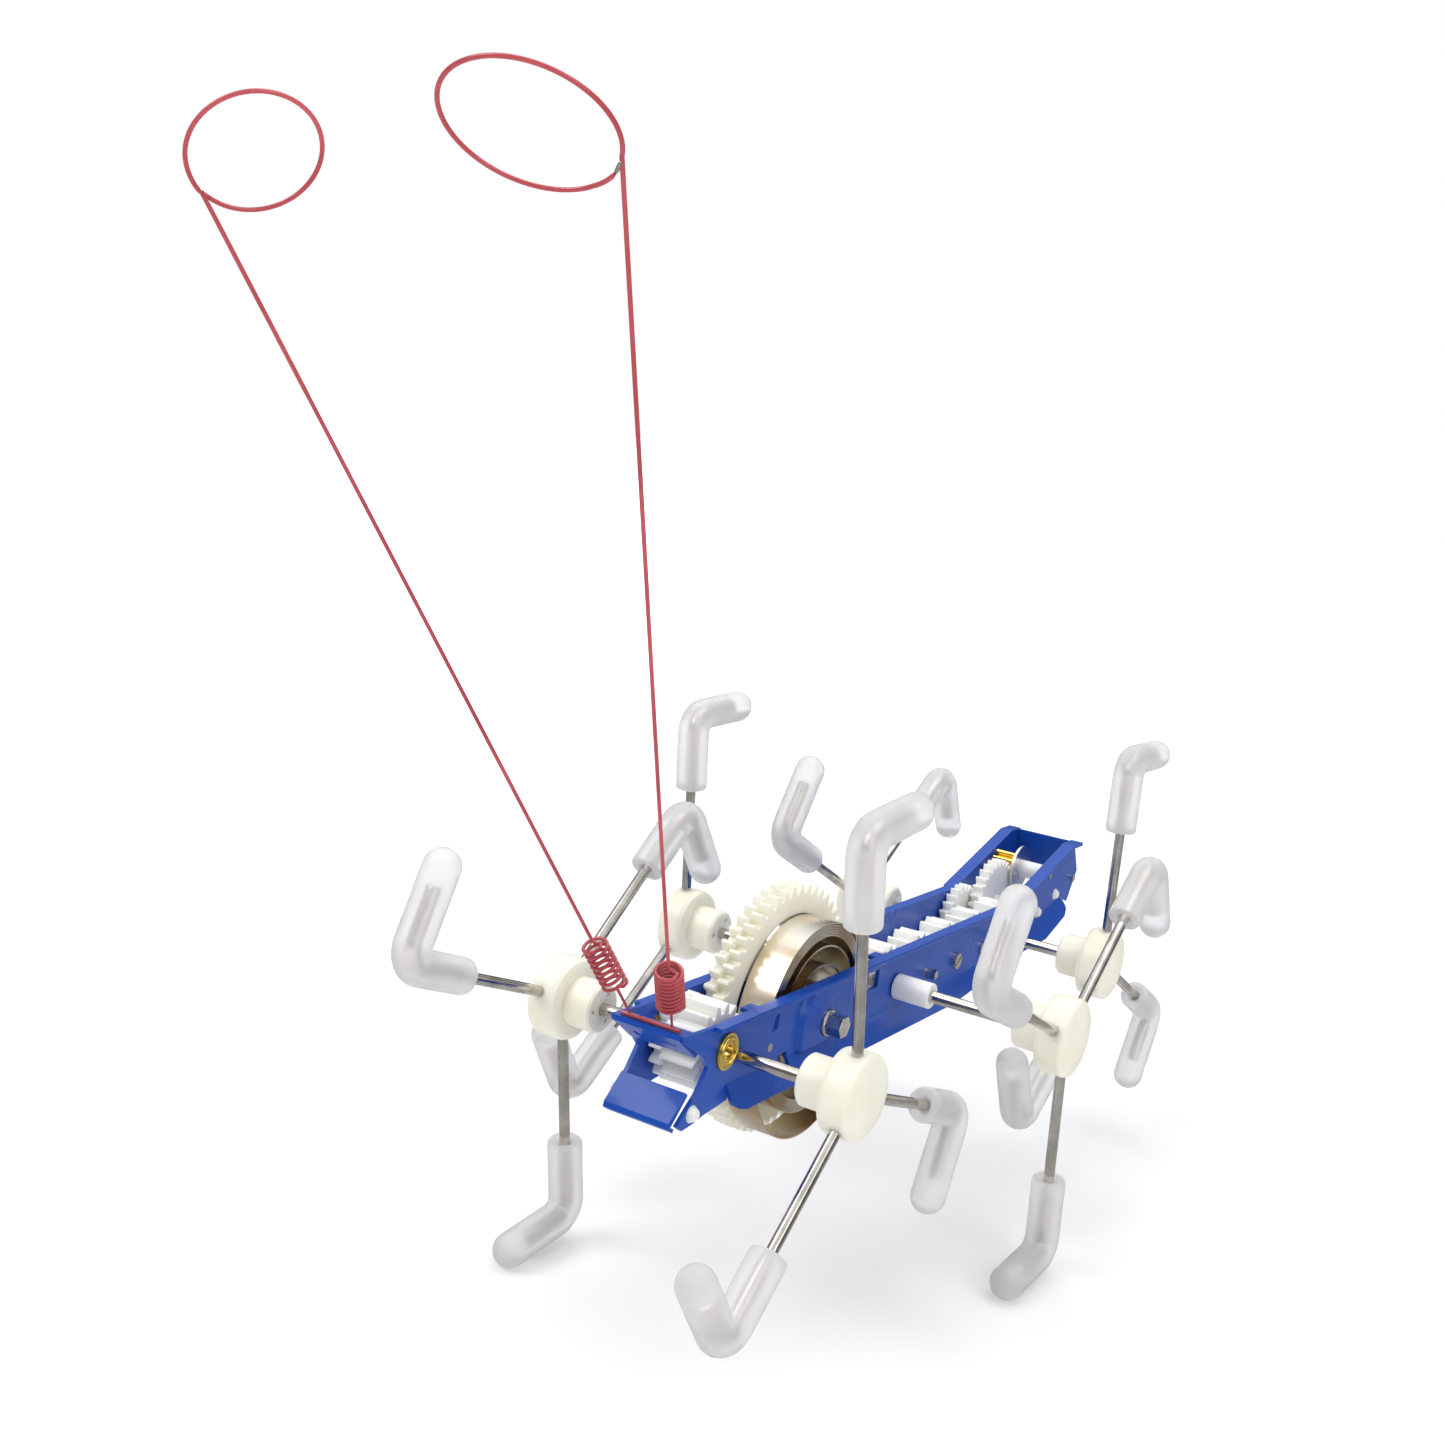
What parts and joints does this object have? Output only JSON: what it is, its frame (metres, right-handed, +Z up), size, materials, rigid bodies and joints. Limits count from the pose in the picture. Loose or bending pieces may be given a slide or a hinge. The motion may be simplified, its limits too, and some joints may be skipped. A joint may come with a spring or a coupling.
{
  "type": "wind-up walking spider robot",
  "caption": "Clockwork walking spider robot: blue pressed-steel frame, spring motor with nylon gears, three-legged wire wheels in rubber boots, and two wire antennas.",
  "frame": {"origin": "middle of the footprint, on the floor that the three lowest feet stand on", "axes": "+X to the robot's right in the sense of the winding side, -Y forward towards the antennas, +Z up"},
  "size_m": [0.0694, 0.1982, 0.1411],
  "materials": {
    "blue_paint": "gloss",
    "steel_wire": "polished",
    "spring_steel": "polished",
    "boot_rubber": "satin",
    "cream_nylon": "satin",
    "white_nylon": "satin",
    "brass": "polished",
    "disc_aluminium": "satin",
    "red_enamel": "gloss"
  },
  "bodies": {
    "frame": {"right_side_plate": "blue_paint", "left_side_plate": "blue_paint", "front_bridge": "blue_paint", "chin_panel": "blue_paint", "rear_wall": "blue_paint", "brass_eyelets": "brass", "chin_rivets": "white_nylon", "nylon_studs": "white_nylon", "rear_cross_pin": "steel_wire", "idler_square_end_pin": "steel_wire", "idler_slotted_pin": "steel_wire", "idler_plain_pin": "steel_wire", "click_pin": "steel_wire", "antenna_base_bar": "red_enamel", "spring_post": "steel_wire", "mainspring": "spring_steel"},
    "front_wheels": {"front_axle": "steel_wire", "front_gear": "white_nylon", "front_right_hub": "cream_nylon", "front_right_leg_wires": "steel_wire", "front_right_boots": "boot_rubber", "front_left_hub": "cream_nylon", "front_left_leg_wires": "steel_wire", "front_left_boots": "boot_rubber"},
    "middle_wheels": {"middle_axle": "steel_wire", "middle_gear": "white_nylon", "middle_axle_sleeves": "white_nylon", "middle_right_hub": "cream_nylon", "middle_right_leg_wires": "steel_wire", "middle_right_boots": "boot_rubber", "middle_left_hub": "cream_nylon", "middle_left_leg_wires": "steel_wire", "middle_left_boots": "boot_rubber"},
    "rear_wheels": {"rear_axle": "steel_wire", "rear_gear": "white_nylon", "governor_drive_gear": "white_nylon", "rear_right_hub": "cream_nylon", "rear_right_leg_wires": "steel_wire", "rear_right_boots": "boot_rubber", "rear_left_hub": "cream_nylon", "rear_left_leg_wires": "steel_wire", "rear_left_boots": "boot_rubber"},
    "great_wheel": {"great_wheel": "cream_nylon"},
    "winding_arbor": {"winding_arbor": "steel_wire", "ratchet_wheel": "steel_wire"},
    "ratchet_click": {"ratchet_click": "steel_wire"},
    "idler_1": {"idler_gear_1": "white_nylon"},
    "idler_2": {"idler_gear_2": "white_nylon"},
    "idler_3": {"idler_gear_3": "white_nylon"},
    "governor_wheel": {"governor_wheel": "white_nylon"},
    "governor": {"governor_spindle": "steel_wire", "governor_pinion": "brass", "governor_disc": "disc_aluminium", "governor_collar": "white_nylon"},
    "left_antenna": {"left_antenna": "red_enamel"},
    "right_antenna": {"right_antenna": "red_enamel"}
  },
  "joints": [
    {"name": "front_axle_turn", "type": "hinge", "parent": "frame", "child": "front_wheels", "pos_m": [0, -0.02319, 0.03707], "axis": [1, 0, 0], "continuous": true},
    {"name": "middle_axle_turn", "type": "hinge", "parent": "frame", "child": "middle_wheels", "pos_m": [0, 0.02141, 0.03665], "axis": [1, 0, 0], "continuous": true},
    {"name": "rear_axle_turn", "type": "hinge", "parent": "frame", "child": "rear_wheels", "pos_m": [0, 0.06261, 0.03626], "axis": [1, 0, 0], "continuous": true},
    {"name": "great_wheel_turn", "type": "hinge", "parent": "frame", "child": "great_wheel", "pos_m": [0, -0.00089, 0.03641], "axis": [1, 0, 0], "continuous": true},
    {"name": "idler_1_turn", "type": "hinge", "parent": "frame", "child": "idler_1", "pos_m": [0, 0.03171, 0.03655], "axis": [1, 0, 0], "continuous": true},
    {"name": "idler_2_turn", "type": "hinge", "parent": "frame", "child": "idler_2", "pos_m": [0, 0.04201, 0.03646], "axis": [1, 0, 0], "continuous": true},
    {"name": "idler_3_turn", "type": "hinge", "parent": "frame", "child": "idler_3", "pos_m": [0, 0.05231, 0.03636], "axis": [1, 0, 0], "continuous": true},
    {"name": "governor_wheel_turn", "type": "hinge", "parent": "frame", "child": "governor_wheel", "pos_m": [0, 0.07117, 0.03905], "axis": [1, 0, 0], "continuous": true},
    {"name": "governor_turn", "type": "hinge", "parent": "frame", "child": "governor", "pos_m": [0, 0.07866, 0.04448], "axis": [1, 0, 0], "continuous": true},
    {"name": "winding_arbor_turn", "type": "hinge", "parent": "frame", "child": "winding_arbor", "pos_m": [0, -0.00089, 0.03641], "axis": [1, 0, 0], "range_deg": [0, 1800]},
    {"name": "ratchet_click_lift", "type": "hinge", "parent": "frame", "child": "ratchet_click", "pos_m": [0.0046, 0.00371, 0.04001], "axis": [1, 0, 0], "range_deg": [-8, 0], "stiffness_Nm_per_rad": 0.0004, "springref_deg": 2.86},
    {"name": "left_antenna_sway", "type": "hinge", "parent": "frame", "child": "left_antenna", "pos_m": [-0.0031, -0.03579, 0.04312], "axis": [1, 0, 0], "range_deg": [-12, 12], "stiffness_Nm_per_rad": 0.02},
    {"name": "right_antenna_sway", "type": "hinge", "parent": "frame", "child": "right_antenna", "pos_m": [0.0031, -0.03579, 0.04312], "axis": [1, 0, 0], "range_deg": [-12, 12], "stiffness_Nm_per_rad": 0.02}
  ],
  "couplings": [
    {"joint": "great_wheel_turn", "follows": "front_axle_turn", "ratio": -0.31372},
    {"joint": "middle_axle_turn", "follows": "front_axle_turn", "ratio": 1},
    {"joint": "idler_1_turn", "follows": "front_axle_turn", "ratio": -1},
    {"joint": "idler_2_turn", "follows": "front_axle_turn", "ratio": 1},
    {"joint": "idler_3_turn", "follows": "front_axle_turn", "ratio": -1},
    {"joint": "rear_axle_turn", "follows": "front_axle_turn", "ratio": 1},
    {"joint": "governor_wheel_turn", "follows": "front_axle_turn", "ratio": -2.6},
    {"joint": "governor_turn", "follows": "front_axle_turn", "ratio": 9.425}
  ]
}
